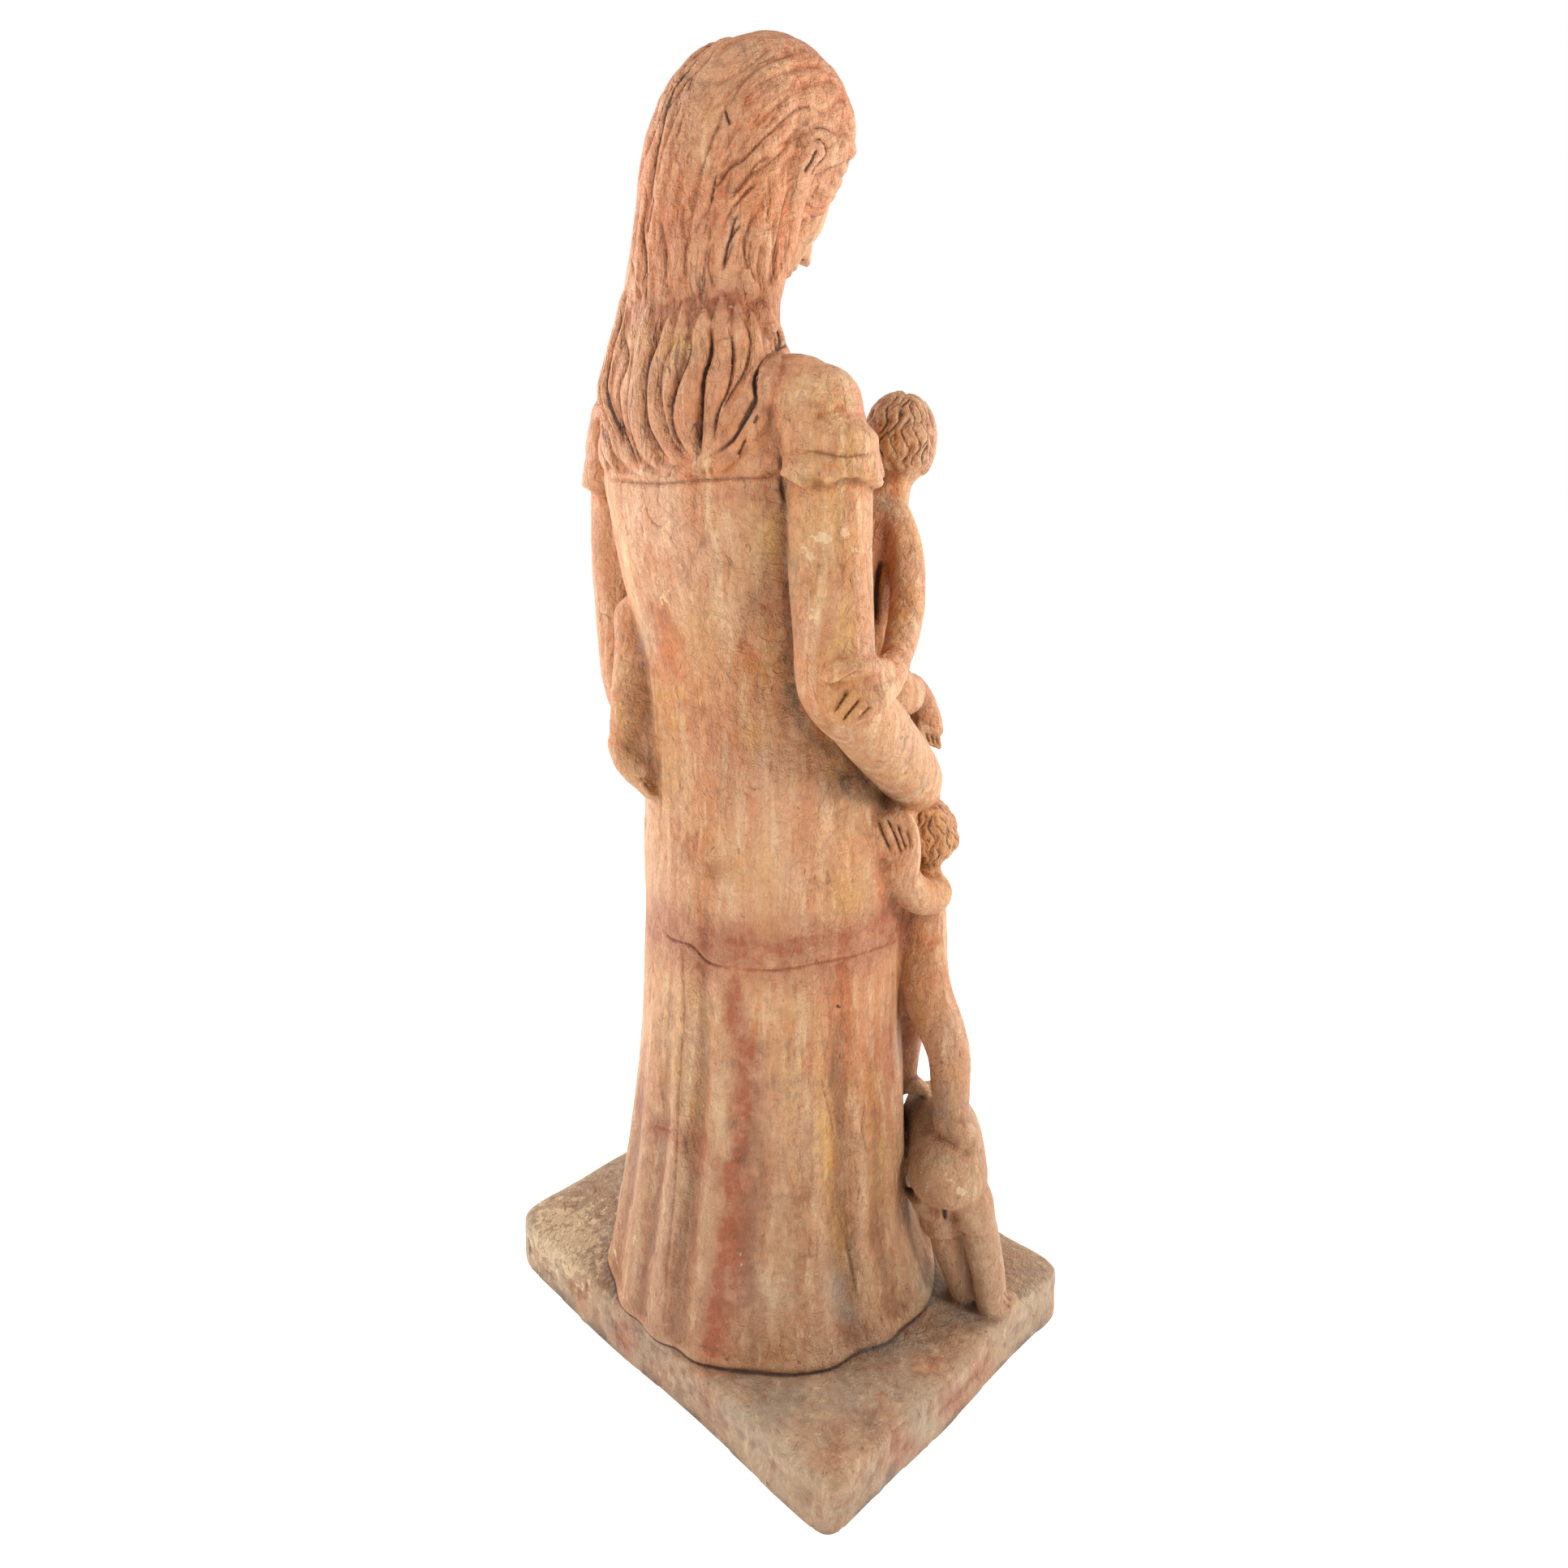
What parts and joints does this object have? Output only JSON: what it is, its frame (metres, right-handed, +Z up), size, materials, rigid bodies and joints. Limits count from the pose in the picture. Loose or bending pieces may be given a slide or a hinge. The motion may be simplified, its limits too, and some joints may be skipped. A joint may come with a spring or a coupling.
{
  "type": "terracotta mother and children statue",
  "caption": "Hand-built terracotta group: a long-haired mother in a full-length fluted dress carries a child while other children climb at her side, on a rectangular slab.",
  "frame": {"origin": "centre of the slab's underside", "axes": "+Z up, the mother faces -Y, her left hand is towards +X, the slab's long side runs along X"},
  "size_m": [0.6148, 0.4699, 1.4962],
  "materials": {
    "terracotta": "unglazed fired clay, matt, orange-buff with red-brown, ochre and cream stains and grey dust in the hollows"
  },
  "bodies": {
    "root": {"mother_and_children_statue": "terracotta"}
  },
  "joints": []
}
